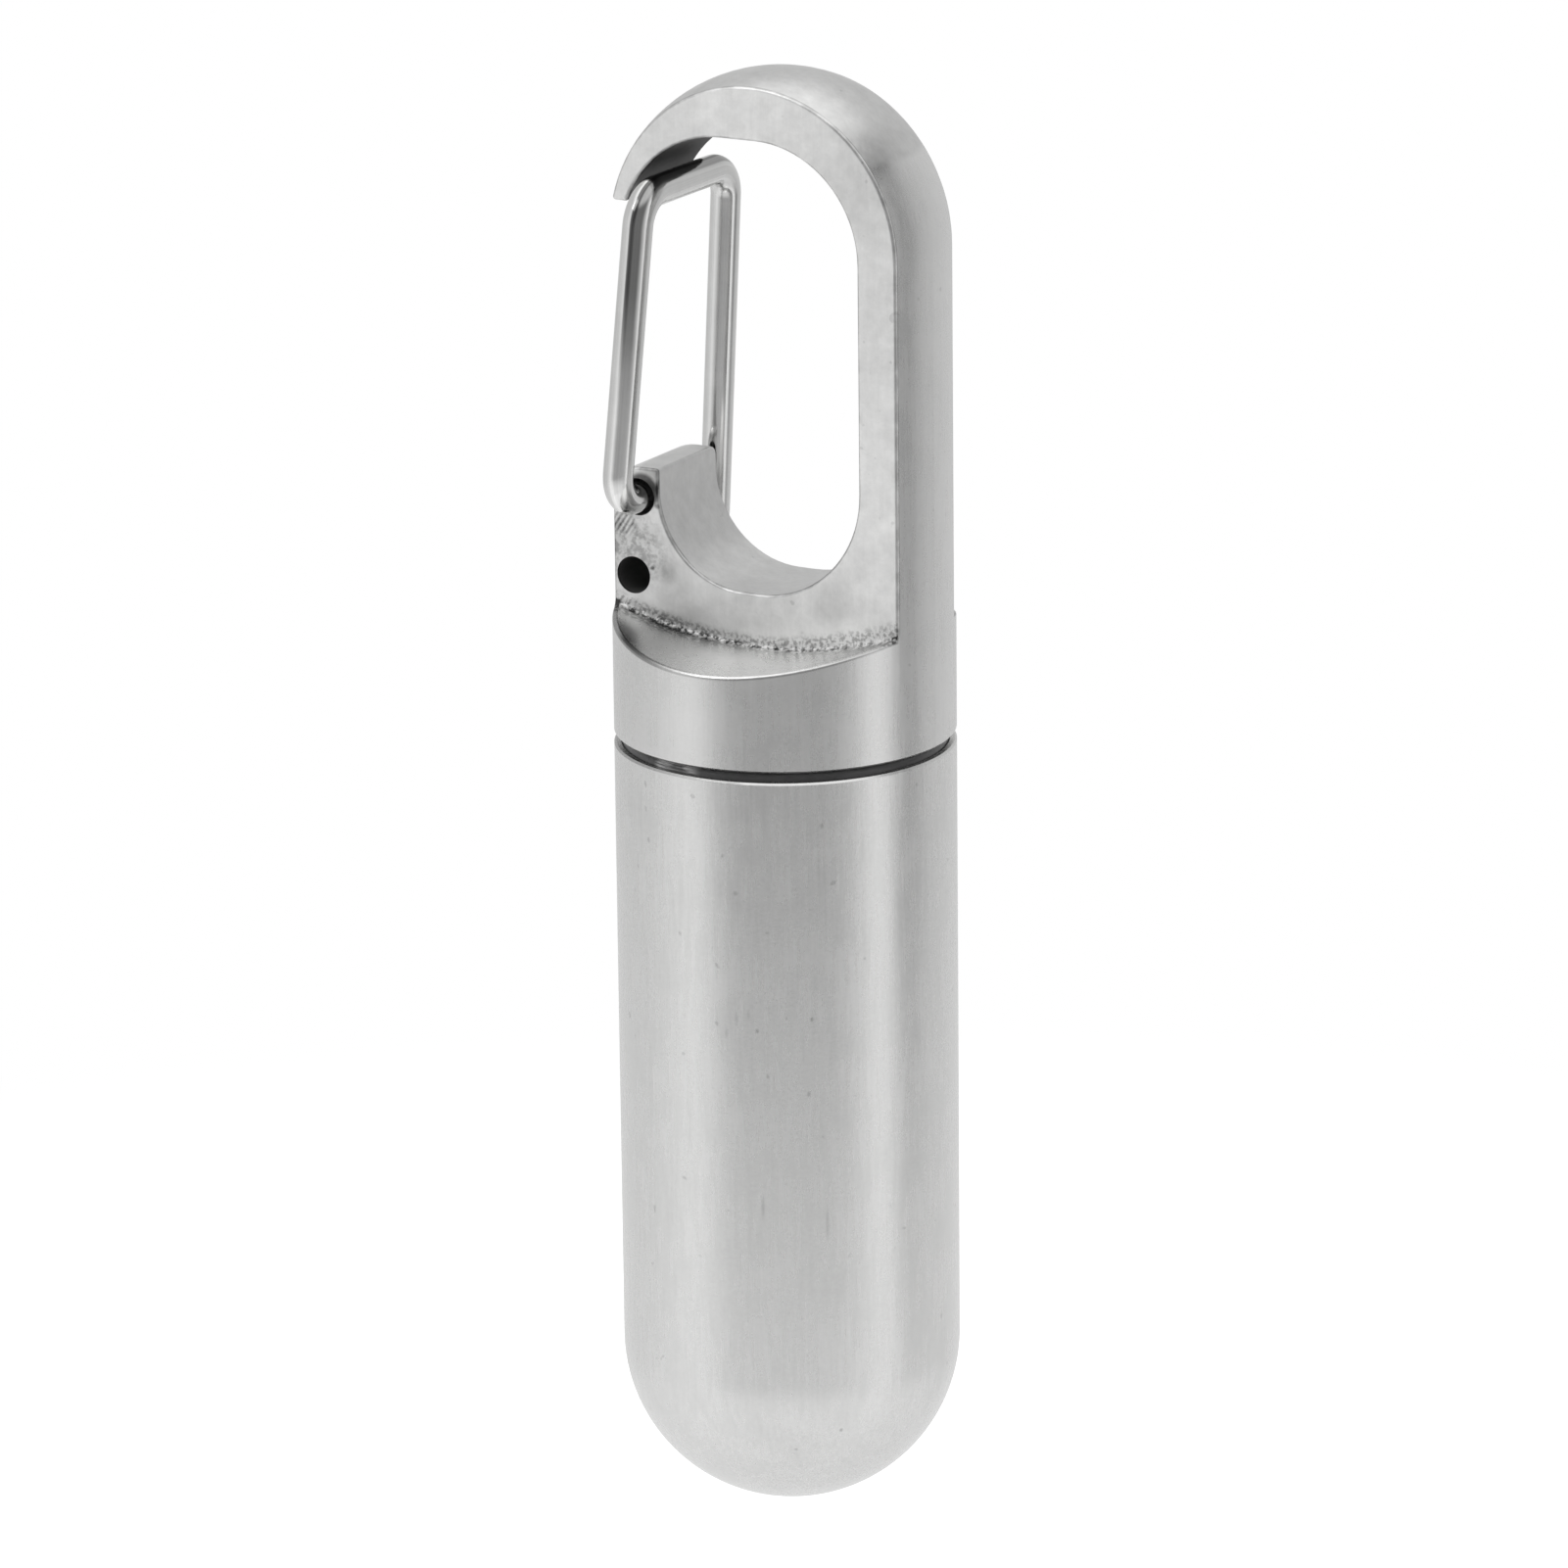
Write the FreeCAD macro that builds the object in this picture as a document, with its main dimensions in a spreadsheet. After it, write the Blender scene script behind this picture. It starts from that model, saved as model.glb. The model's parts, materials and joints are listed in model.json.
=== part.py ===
import FreeCAD, Part
import math
import os
import Sketcher

# A stainless capsule on a carabiner cap. Millimetres, +Z up, the front flat faces -Y.
# The origin is where it hangs: the middle of the loop's inner crown.

doc = FreeCAD.newDocument("CapsuleFob")

# Driving sizes: name, millimetres or degrees, what it measures
driving = [
    ("body_diameter", 18.0, "outside of the capsule, the collar and both round ends"),
    ("slab_thickness", 6.1, "loop, from the front flat to the back flat"),
    ("crown_thickness", 3.3, "metal above the inner crown at the middle"),
    ("strut_width", 2.8, "loop's right strut, at the middle of its thickness"),
    ("lug_width", 3.25, "lug, at the middle of its thickness"),
    ("lug_height", 6.0, "slot floor up to the lug's top"),
    ("lug_corner_radius", 5.0, "round corner where the lug meets the slot floor"),
    ("slot_length", 23.95, "loop, inner crown to slot floor"),
    ("nose_radius", 6.1, "round cut that thins the hook's nose"),
    ("nose_wall", 1.15, "thinnest metal outside that cut"),
    ("nose_drop", 3.85, "inner crown down to the nose's end"),
    ("web_height", 2.9, "ledge's lowest line up to the slot floor"),
    ("collar_height", 5.0, "collar's lower edge up to the ledge's lowest line"),
    ("flat_cutter_radius", 25.0, "round cut that leaves the flats and their ledges"),
    ("ledge_fillet", 0.35, "inner corner between flat and ledge"),
    ("lug_tip_radius", 2.4, "rounded outer corner of the lug's top"),
    ("lug_tip_overhang", 0.14, "far side of that round, past the bar's outside"),
    ("lug_round", 0.5, "rounded back edge of the lug's top"),
    ("edge_break", 0.18, "softened edges of the loop"),
    ("rim_break", 0.1, "small bevels at the seam"),
    ("hole_drop", 1.6, "lug's top down to the upper hole"),
    ("hole_pitch", 4.25, "upper hole down to the lower hole"),
    ("hole_inset", 0.12, "upper hole, from the lug's middle towards the slot"),
    ("wire_diameter", 1.6, "gate wire"),
    ("hole_clearance", 0.2, "gate wire to the wall of its hole"),
    ("wire_bend_radius", 1.7, "gate wire's bends, at its middle line"),
    ("wire_end_break", 0.25, "bevel on the cut ends of the wire"),
    ("gate_clearance", 0.35, "closed crossbar to the nose"),
    ("bar_seat_angle", 36.5, "degrees from level up to the closed crossbar, about the nose cut's middle"),
    ("pin_depth", 0.9, "wire end inside its hole"),
    ("foot_standoff", 2.25, "flat to the wire's middle line, at the foot of a leg"),
    ("top_standoff", 1.4, "flat to the wire's middle line, at the crossbar"),
    ("seam_gap", 0.55, "collar to the capsule's mouth"),
    ("rim_width", 0.35, "lip of the mouth, outside the seal"),
    ("seal_section", 1.1, "thickness of the rubber ring"),
    ("seal_clearance", 0.05, "rubber ring to each wall around it"),
    ("capsule_length", 42.0, "mouth to the end of the capsule"),
    ("capsule_wall", 2.3, "capsule below the thread"),
    ("neck_land", 0.3, "plain neck below the seal"),
    ("neck_wall", 1.35, "neck under the thread"),
    ("neck_bore_rise", 1.5, "neck's bore above the collar's lower edge"),
    ("relief_depth", 0.05, "one-pitch run-out groove, below the thread's root"),
    ("thread_length", 4.5, "thread on the neck"),
    ("thread_pitch", 1.5, "right-hand thread"),
    ("thread_depth", 0.65, "height of a thread ridge"),
    ("thread_crest", 0.25, "flat width of the neck's ridge at its top"),
    ("thread_flank", 30.0, "degrees of each flank"),
    ("thread_gap", 0.1, "radial room between the threads"),
    ("flank_gap", 0.12, "axial room at each flank"),
]

# Sizes that follow from them
derived = [
    ("body_radius", "body_diameter / 2"),
    ("dome_middle", "crown_thickness - body_radius"),
    ("slot_right", "body_radius - strut_width"),
    ("slot_left", "lug_width - body_radius"),
    ("slot_offset", "(slot_right + slot_left) / 2"),
    ("slot_half", "(slot_right - slot_left) / 2"),
    ("slot_top_middle", "-slot_half"),
    ("slot_floor", "-slot_length"),
    ("slot_low_middle", "slot_floor + slot_half"),
    ("nose_x", "nose_radius + nose_wall - body_radius"),
    ("nose_z", "-nose_radius"),
    ("lug_corner", "min(lug_corner_radius; lug_height - lug_round; slot_half - lug_round)"),
    ("lug_corner_x", "slot_left + lug_corner"),
    ("lug_corner_z", "slot_floor + lug_corner"),
    ("opening_left", "-body_diameter"),
    ("nose_end", "-nose_drop"),
    ("nose_tip_x", "nose_x - sqrt(nose_radius ^ 2 - (nose_end - nose_z) ^ 2)"),
    ("lug_top", "slot_floor + lug_height"),
    ("lug_tip_left", "-body_radius - lug_tip_overhang"),
    ("lug_tip_x", "lug_tip_left + lug_tip_radius"),
    ("lug_tip_z", "lug_top - lug_tip_radius"),
    ("ledge_low", "slot_floor - web_height"),
    ("cutter_middle", "ledge_low + flat_cutter_radius"),
    ("collar_low", "ledge_low - collar_height"),
    ("collar_bevel_radius", "body_radius - rim_break"),
    ("collar_bevel_top", "collar_low + rim_break"),
    ("slab_half", "slab_thickness / 2"),
    ("lug_outer", "-sqrt(body_radius ^ 2 - slab_half ^ 2)"),
    ("upper_hole_x", "(lug_outer + slot_left) / 2 + hole_inset"),
    ("upper_hole_z", "lug_top - hole_drop"),
    ("wire_radius", "wire_diameter / 2"),
    ("hole_radius", "wire_radius + hole_clearance"),
    ("bar_room", "nose_radius - wire_radius - gate_clearance"),
    ("bar_aside", "nose_x - bar_room * cos(bar_seat_angle * 1 deg) - upper_hole_x"),
    ("bar_above", "nose_z + bar_room * sin(bar_seat_angle * 1 deg) - upper_hole_z"),
    ("bar_reach", "sqrt(bar_aside ^ 2 + bar_above ^ 2)"),
    ("gate_lean", "atan(bar_aside / bar_above) / 1 deg"),
    ("lower_hole_x", "upper_hole_x - hole_pitch * bar_aside / bar_above"),
    ("lower_hole_z", "upper_hole_z - hole_pitch"),
    ("rear_foot", "-hole_pitch / cos(gate_lean * 1 deg)"),
    ("pin_end", "slab_half - pin_depth"),
    ("front_pin_end", "-pin_end"),
    ("foot_rear", "slab_half + foot_standoff"),
    ("foot_front", "-foot_rear"),
    ("top_rear", "slab_half + top_standoff"),
    ("top_front", "-top_rear"),
    ("gland_height", "seal_section + 2 * seal_clearance"),
    ("gland_radius", "body_radius - rim_width"),
    ("neck_radius", "gland_radius - gland_height"),
    ("seal_radius", "(gland_radius + neck_radius) / 2"),
    ("seal_middle", "collar_low - gland_height / 2"),
    ("gland_floor", "collar_low - gland_height"),
    ("root_radius", "neck_radius - thread_depth"),
    ("relief_radius", "root_radius - relief_depth"),
    ("neck_relief_top", "gland_floor - neck_land"),
    ("neck_relief_low", "neck_relief_top - thread_pitch"),
    ("neck_end", "neck_relief_low - thread_length"),
    ("neck_bevel_top", "neck_end + thread_depth"),
    ("neck_bore_radius", "root_radius - neck_wall"),
    ("neck_bore_top", "collar_low + neck_bore_rise"),
    ("mouth", "collar_low - seam_gap"),
    ("mouth_bevel_low", "mouth - rim_break"),
    ("capsule_end", "mouth - capsule_length"),
    ("capsule_dome_middle", "capsule_end + body_radius"),
    ("bore_radius", "body_radius - capsule_wall"),
    ("bore_end", "capsule_dome_middle - bore_radius"),
    ("mouth_root_radius", "neck_radius + thread_gap"),
    ("mouth_ridge_radius", "root_radius + thread_gap"),
    ("mouth_relief_radius", "mouth_root_radius + relief_depth"),
    ("mouth_thread_top", "neck_relief_top - thread_gap"),
    ("mouth_thread_low", "neck_end - thread_gap"),
    ("mouth_relief_low", "mouth_thread_low - thread_pitch"),
    ("mouth_cone_low", "mouth_relief_low - mouth_relief_radius + bore_radius"),
    ("flank_slope", "tan(thread_flank * 1 deg)"),
    ("overcut", "thread_depth / 10"),
    ("mouth_groove_start", "mouth_thread_low - thread_pitch / 2"),
    ("mouth_groove_rise", "mouth_thread_top + thread_pitch / 2 - mouth_groove_start"),
    ("mouth_groove_inside", "mouth_ridge_radius - overcut"),
    ("mouth_root_half", "thread_crest / 2 + flank_gap - thread_gap * flank_slope"),
    ("mouth_open_half", "mouth_root_half + (thread_depth + overcut) * flank_slope"),
    ("mouth_root_low", "mouth_groove_start - mouth_root_half"),
    ("mouth_root_high", "mouth_groove_start + mouth_root_half"),
    ("mouth_open_low", "mouth_groove_start - mouth_open_half"),
    ("mouth_open_high", "mouth_groove_start + mouth_open_half"),
    ("neck_groove_start", "mouth_groove_start - thread_pitch / 2"),
    ("neck_groove_rise", "neck_relief_top - thread_pitch / 2 - neck_groove_start"),
    ("neck_groove_outside", "neck_radius + overcut"),
    ("neck_root_half", "thread_pitch / 2 - thread_crest / 2 - thread_depth * flank_slope"),
    ("neck_open_half", "neck_root_half + (thread_depth + overcut) * flank_slope"),
    ("neck_root_low", "neck_groove_start - neck_root_half"),
    ("neck_root_high", "neck_groove_start + neck_root_half"),
    ("neck_open_low", "neck_groove_start - neck_open_half"),
    ("neck_open_high", "neck_groove_start + neck_open_half"),
]

near = 1e-4  # millimetres within which two places are the same
sharp_turn = math.radians(10)  # an edge that turns less is smooth

sheet = doc.addObject("Spreadsheet::Sheet", "Sizes")
for row, (name, value, meaning) in enumerate(driving, start=1):
    sheet.set(f"A{row}", name)
    sheet.set(f"B{row}", str(value))
    sheet.set(f"C{row}", meaning)
    sheet.setAlias(f"B{row}", name)
for row, (name, formula) in enumerate(derived, start=len(driving) + 2):
    sheet.set(f"A{row}", name)
    sheet.set(f"B{row}", "=" + formula)
    sheet.setAlias(f"B{row}", name)
doc.recompute()


def size(name):
    """The number that a named cell holds now."""
    return float(sheet.get(name))


def bind(item, prop, formula):
    """Tie a property to a formula over the sheet's names."""
    item.setExpression(prop, formula)


def new_body(label):
    body = doc.addObject("PartDesign::Body", label)
    body.Label = label
    return body


def new_sketch(body, role, name):
    """A sketch on one of the body's own origin planes."""
    sketch = body.newObject("Sketcher::SketchObject", name)
    plane = [item for item in body.Origin.OriginFeatures if item.Role == role][0]
    sketch.AttachmentSupport = [(plane, "")]
    sketch.MapMode = "FlatFace"
    return sketch


def measure(sketch, kind, first, second, name):
    """Hold a distance or a radius of the sketch to a named cell."""
    index = sketch.addConstraint(Sketcher.Constraint(kind, *first, *second, size(name)))
    label = f"size_{index}"
    sketch.renameConstraint(index, label)
    bind(sketch, f"Constraints.{label}", f"Sizes.{name}")


def pin_point(sketch, point, across, up, free_height=False):
    """Hold a point at named coordinates, where None is the sketch's own axis."""
    if across is None:
        sketch.addConstraint(Sketcher.Constraint("PointOnObject", *point, -2))
    else:
        measure(sketch, "DistanceX", (-1, 1), point, across)
    if free_height:
        return
    if up is None:
        sketch.addConstraint(Sketcher.Constraint("PointOnObject", *point, -1))
    else:
        measure(sketch, "DistanceY", (-1, 1), point, up)


def place_of(across, up):
    """The point at two named coordinates, where None is nought."""
    return FreeCAD.Vector(size(across) if across else 0, size(up) if up else 0, 0)


def outline(sketch, corners):
    """Close a chain through named corners (across, up).

    A corner with a third entry, the names of a middle, starts an arc about it to the next corner,
    and a fourth entry of -1 turns that arc clockwise. A middle across None is on the upright axis.
    """
    places = [place_of(*corner[:2]) for corner in corners]
    starts = []
    ends = []
    for index, corner in enumerate(corners):
        here, there = places[index], places[(index + 1) % len(corners)]
        if len(corner) == 2:
            edge = sketch.addGeometry(Part.LineSegment(here, there))
            starts.append((edge, 1))
            ends.append((edge, 2))
            continue
        middle = place_of(*corner[2])
        clockwise = len(corner) > 3
        first, last = (there, here) if clockwise else (here, there)
        circle = Part.Circle(middle, FreeCAD.Vector(0, 0, 1), (here - middle).Length)
        begin = math.atan2(first.y - middle.y, first.x - middle.x)
        finish = math.atan2(last.y - middle.y, last.x - middle.x)
        edge = sketch.addGeometry(Part.ArcOfCircle(circle, begin, finish))
        starts.append((edge, 2 if clockwise else 1))
        ends.append((edge, 1 if clockwise else 2))
    for index, corner in enumerate(corners):
        sketch.addConstraint(Sketcher.Constraint("Coincident", *ends[index - 1], *starts[index]))
        meets_arc = len(corner) > 2 or len(corners[index - 1]) > 2
        pin_point(sketch, starts[index], *corner[:2], free_height=corner[0] is None and meets_arc)
        if len(corner) > 2:
            across, up = corner[2]
            if across is None:
                sketch.addConstraint(Sketcher.Constraint("PointOnObject", starts[index][0], 3, -2))
            measure(sketch, "DistanceY", (-1, 1), (starts[index][0], 3), up)


def disc(sketch, across, up, radius):
    """A circle at named coordinates, with a named radius."""
    circle = Part.Circle(place_of(across, up), FreeCAD.Vector(0, 0, 1), size(radius))
    edge = sketch.addGeometry(circle)
    pin_point(sketch, (edge, 3), across, up)
    measure(sketch, "Radius", (edge,), (), radius)


def turned(body, name, corners):
    """Turn a half section about the upright axis."""
    sketch = new_sketch(body, "XZ_Plane", name + "Section")
    outline(sketch, corners)
    solid = body.newObject("PartDesign::Revolution", name)
    solid.Profile = sketch
    solid.ReferenceAxis = (sketch, ["V_Axis"])
    solid.Angle = 360
    doc.recompute()
    return solid


def cut_through(body, name, sketch):
    """Cut a sketch through the body from front to back."""
    volume = body.Shape.Volume
    pocket = body.newObject("PartDesign::Pocket", name)
    pocket.Profile = sketch
    pocket.Type = "ThroughAll"
    pocket.Midplane = True
    doc.recompute()
    check_removed(body, name, volume)


def check_removed(body, name, volume):
    if body.Shape.Volume > volume - 0.01:
        raise RuntimeError(name + " removed nothing")


def cut_thread(body, name, corners, rise):
    """Cut a right-hand helical groove of the given section."""
    volume = body.Shape.Volume
    sketch = new_sketch(body, "XZ_Plane", name + "Section")
    outline(sketch, corners)
    groove = body.newObject("PartDesign::SubtractiveHelix", name)
    groove.Profile = sketch
    groove.ReferenceAxis = (sketch, ["V_Axis"])
    groove.Mode = "pitch-height-angle"
    bind(groove, "Pitch", "Sizes.thread_pitch")
    bind(groove, "Height", "Sizes." + rise)
    groove.LeftHanded = False
    doc.recompute()
    check_removed(body, name, volume)


def middle_of(edge):
    return edge.valueAt((edge.FirstParameter + edge.LastParameter) / 2)


def turn_between(edge, faces):
    """The angle that the surface turns through at the middle of an edge."""
    normals = []
    for face in faces:
        normals.append(face.normalAt(*face.Surface.parameter(middle_of(edge))))
    return normals[0].getAngle(normals[1])


def soften(body, name, kind, prop, amount, wanted):
    """Round or bevel the edges of the body that pass the test."""
    base = body.Tip
    names = []
    for index, edge in enumerate(base.Shape.Edges, start=1):
        faces = [] if edge.Degenerated else base.Shape.ancestorsOfType(edge, Part.Face)
        if len(faces) == 2 and wanted(edge, faces):
            names.append(f"Edge{index}")
    if not names:
        raise RuntimeError(name + " found no edge")
    finish = body.newObject(kind, name)
    finish.Base = (base, names)
    bind(finish, prop, "Sizes." + amount)
    doc.recompute()


def make_clip_cap():
    body = new_body("clip_cap")
    turned(body, "TurnedBar", [
        (None, "neck_bore_top"),
        ("neck_bore_radius", "neck_bore_top"),
        ("neck_bore_radius", "neck_end"),
        ("relief_radius", "neck_end"),
        ("neck_radius", "neck_bevel_top"),
        ("neck_radius", "neck_relief_low"),
        ("relief_radius", "neck_relief_low"),
        ("relief_radius", "neck_relief_top"),
        ("neck_radius", "neck_relief_top"),
        ("neck_radius", "collar_low"),
        ("collar_bevel_radius", "collar_low"),
        ("body_radius", "collar_bevel_top"),
        ("body_radius", "dome_middle", (None, "dome_middle")),
        (None, "crown_thickness"),
    ])
    for side, outward in (("Front", 1), ("Back", -1)):
        volume = body.Shape.Volume
        sketch = new_sketch(body, "XZ_Plane", side + "FlatCut")
        bind(sketch, "AttachmentOffset.Base.z", f"{outward} * Sizes.slab_half")
        disc(sketch, None, "cutter_middle", "flat_cutter_radius")
        pocket = body.newObject("PartDesign::Pocket", side + "Flat")
        pocket.Profile = sketch
        pocket.Type = "ThroughAll"
        pocket.Reversed = outward > 0
        doc.recompute()
        check_removed(body, side + "Flat", volume)
    flat_at = size("slab_half")
    lug_at = size("lug_top")
    ledge_at = size("ledge_low")

    def ledge_corner(edge, faces):
        flat = any(isinstance(face.Surface, Part.Plane) for face in faces)
        low = middle_of(edge).z < ledge_at + size("ledge_fillet")
        return flat and low and abs(abs(middle_of(edge).y) - flat_at) < near

    soften(body, "LedgeFillet", "PartDesign::Fillet", "Radius", "ledge_fillet", ledge_corner)

    sketch = new_sketch(body, "XZ_Plane", "SlotOutline")
    outline(sketch, [
        ("slot_right", "slot_low_middle"),
        ("slot_right", "slot_top_middle", ("slot_offset", "slot_top_middle")),
        ("slot_offset", None),
        ("nose_x", None, ("nose_x", "nose_z")),
        ("nose_tip_x", "nose_end"),
        ("opening_left", "nose_end"),
        ("opening_left", "lug_tip_z"),
        ("lug_tip_left", "lug_tip_z", ("lug_tip_x", "lug_tip_z"), -1),
        ("lug_tip_x", "lug_top"),
        ("slot_left", "lug_top"),
        ("slot_left", "lug_corner_z", ("lug_corner_x", "lug_corner_z")),
        ("lug_corner_x", "slot_floor"),
        ("slot_offset", "slot_floor", ("slot_offset", "slot_low_middle")),
    ])
    cut_through(body, "Slot", sketch)

    def lug_rim(edge, faces):
        middle = middle_of(edge)
        return abs(middle.z - lug_at) < near and abs(middle.y - flat_at) < near

    soften(body, "LugRound", "PartDesign::Fillet", "Radius", "lug_round", lug_rim)

    def sharp_edge(edge, faces):
        return middle_of(edge).z > ledge_at - near and turn_between(edge, faces) > sharp_turn

    soften(body, "EdgeBreak", "PartDesign::Fillet", "Radius", "edge_break", sharp_edge)

    sketch = new_sketch(body, "XZ_Plane", "GateHolesOutline")
    disc(sketch, "upper_hole_x", "upper_hole_z", "hole_radius")
    disc(sketch, "lower_hole_x", "lower_hole_z", "hole_radius")
    cut_through(body, "GateHoles", sketch)
    cut_thread(body, "NeckThread", [
        ("root_radius", "neck_root_low"),
        ("neck_groove_outside", "neck_open_low"),
        ("neck_groove_outside", "neck_open_high"),
        ("root_radius", "neck_root_high"),
    ], "neck_groove_rise")
    return body


def make_capsule_body():
    body = new_body("capsule_body")
    turned(body, "DrilledTube", [
        (None, "capsule_end", (None, "capsule_dome_middle")),
        ("body_radius", "capsule_dome_middle"),
        ("body_radius", "mouth_bevel_low"),
        ("collar_bevel_radius", "mouth"),
        ("gland_radius", "mouth"),
        ("gland_radius", "gland_floor"),
        ("mouth_relief_radius", "gland_floor"),
        ("mouth_relief_radius", "mouth_thread_top"),
        ("mouth_ridge_radius", "mouth_thread_top"),
        ("mouth_ridge_radius", "mouth_thread_low"),
        ("mouth_relief_radius", "mouth_thread_low"),
        ("mouth_relief_radius", "mouth_relief_low"),
        ("bore_radius", "mouth_cone_low"),
        ("bore_radius", "capsule_dome_middle", (None, "capsule_dome_middle"), -1),
        (None, "bore_end"),
    ])
    cut_thread(body, "MouthThread", [
        ("mouth_groove_inside", "mouth_open_low"),
        ("mouth_root_radius", "mouth_root_low"),
        ("mouth_root_radius", "mouth_root_high"),
        ("mouth_groove_inside", "mouth_open_high"),
    ], "mouth_groove_rise")
    return body


def make_o_ring():
    ring = doc.addObject("Part::Torus", "o_ring")
    ring.Label = "o_ring"
    bind(ring, "Radius1", "Sizes.seal_radius")
    bind(ring, "Radius2", "Sizes.seal_section / 2")
    bind(ring, "Placement.Base.z", "Sizes.seal_middle")
    return ring


def rounded_path(sketch, corners, radius):
    """An open path of straight runs through named corners, with a tangent arc at each inner corner."""
    places = [place_of(*corner) for corner in corners]
    bend = size(radius)
    runs = []
    arcs = []
    start = places[0]
    for index in range(1, len(places)):
        corner = places[index]
        if index == len(places) - 1:
            runs.append(sketch.addGeometry(Part.LineSegment(start, corner)))
            break
        back = (places[index - 1] - corner).normalize()
        ahead = (places[index + 1] - corner).normalize()
        half_turn = back.getAngle(ahead) / 2
        leave = corner + back * (bend / math.tan(half_turn))
        join = corner + ahead * (bend / math.tan(half_turn))
        inward = (back + ahead).normalize()
        middle = corner + inward * (bend / math.sin(half_turn))
        nearest = middle - inward * bend
        runs.append(sketch.addGeometry(Part.LineSegment(start, leave)))
        arcs.append(sketch.addGeometry(Part.Arc(leave, nearest, join)))
        start = join
    for index, arc in enumerate(arcs):
        leave = sketch.getPoint(runs[index], 2)
        first = 1 if sketch.getPoint(arc, 1).distanceToPoint(leave) < near else 2
        sketch.addConstraint(Sketcher.Constraint("Tangent", runs[index], 2, arc, first))
        sketch.addConstraint(Sketcher.Constraint("Tangent", arc, 3 - first, runs[index + 1], 1))
        measure(sketch, "Radius", (arc,), (), radius)
    for index, (across, up) in enumerate(corners):
        if index == 0:
            pin_point(sketch, (runs[0], 1), across, up)
        elif index == len(corners) - 1:
            pin_point(sketch, (runs[-1], 2), across, up)
        else:
            mark = sketch.addGeometry(Part.Point(places[index]), True)
            pin_point(sketch, (mark, 1), across, up)
            sketch.addConstraint(Sketcher.Constraint("PointOnObject", mark, 1, runs[index - 1]))
            sketch.addConstraint(Sketcher.Constraint("PointOnObject", mark, 1, runs[index]))


def make_wire_gate():
    """One bent wire in a leaning plane, drawn with the upper hole as its own origin."""
    body = new_body("wire_gate")
    path = new_sketch(body, "YZ_Plane", "WirePath")
    rounded_path(path, [
        ("front_pin_end", None),
        ("foot_front", None),
        ("top_front", "bar_reach"),
        ("top_rear", "bar_reach"),
        ("foot_rear", "rear_foot"),
        ("pin_end", "rear_foot"),
    ], "wire_bend_radius")
    section = new_sketch(body, "XZ_Plane", "WireSection")
    bind(section, "AttachmentOffset.Base.z", "Sizes.pin_end")
    disc(section, None, None, "wire_radius")
    doc.recompute()
    wire = body.newObject("PartDesign::AdditivePipe", "BentWire")
    wire.Profile = section
    wire.Spine = (path, [f"Edge{number}" for number in range(1, len(path.Shape.Edges) + 1)])
    doc.recompute()
    pin_at = size("pin_end")

    def cut_end(edge, faces):
        return edge.isClosed() and abs(abs(middle_of(edge).y) - pin_at) < near

    soften(body, "CutEnds", "PartDesign::Chamfer", "Size", "wire_end_break", cut_end)
    bind(body, "Placement.Base.x", "Sizes.upper_hole_x")
    bind(body, "Placement.Base.z", "Sizes.upper_hole_z")
    body.Placement.Rotation = FreeCAD.Rotation(FreeCAD.Vector(0, 1, 0), size("gate_lean"))
    bind(body, "Placement.Rotation.Angle", "Sizes.gate_lean * 1 deg")
    return body


pieces = [make_clip_cap(), make_capsule_body(), make_o_ring(), make_wire_gate()]
doc.recompute()
for item in doc.Objects:
    if "Invalid" in item.State or "Error" in item.State:
        raise RuntimeError(f"{item.Name} failed: {item.State}")
for piece in pieces:
    if piece.Shape.isNull() or not piece.Shape.isValid():
        raise RuntimeError(f"{piece.Label} is not a valid solid")

os.makedirs("parts", exist_ok=True)
for piece in pieces:
    piece.Shape.exportStep(f"parts/{piece.Label}.step")
    print(piece.Label, len(piece.Shape.Solids), "solid,", round(piece.Shape.Volume, 2), "mm3")
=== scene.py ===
import bpy
import bmesh
import json
import math
import numpy as np
from mathutils import Matrix, Vector


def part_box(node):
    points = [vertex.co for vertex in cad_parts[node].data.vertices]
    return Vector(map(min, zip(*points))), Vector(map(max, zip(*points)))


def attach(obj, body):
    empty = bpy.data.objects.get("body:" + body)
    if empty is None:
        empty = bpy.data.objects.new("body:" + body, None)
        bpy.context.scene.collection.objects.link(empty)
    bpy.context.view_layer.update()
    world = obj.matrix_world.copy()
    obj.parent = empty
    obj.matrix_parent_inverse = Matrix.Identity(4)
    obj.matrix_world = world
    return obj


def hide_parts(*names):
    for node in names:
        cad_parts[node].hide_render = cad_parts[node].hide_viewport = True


# A steel pill capsule under a hook cap with a wire gate. Metres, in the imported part's own frame.

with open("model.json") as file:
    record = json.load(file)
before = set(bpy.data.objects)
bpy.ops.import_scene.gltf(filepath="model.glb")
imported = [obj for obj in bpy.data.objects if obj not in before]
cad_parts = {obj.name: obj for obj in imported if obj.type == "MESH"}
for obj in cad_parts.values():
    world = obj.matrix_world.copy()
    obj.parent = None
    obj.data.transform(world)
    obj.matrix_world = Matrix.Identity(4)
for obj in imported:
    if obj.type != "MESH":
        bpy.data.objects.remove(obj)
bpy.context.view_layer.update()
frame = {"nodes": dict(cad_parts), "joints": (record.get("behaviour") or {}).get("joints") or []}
mm = 0.001
print("stage: frame loaded with", sorted(frame["nodes"]))

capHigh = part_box("clip_cap")[1]
capsuleLow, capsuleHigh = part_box("capsule_body")
gateLow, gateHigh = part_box("wire_gate")
ringLow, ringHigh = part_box("o_ring")
gateJoint = [joint for joint in frame["joints"] if joint["name"] == "gate_swing"][0]


# Mesh helpers

mergeDistance = 1e-7
sharpAngle = math.radians(32)


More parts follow.
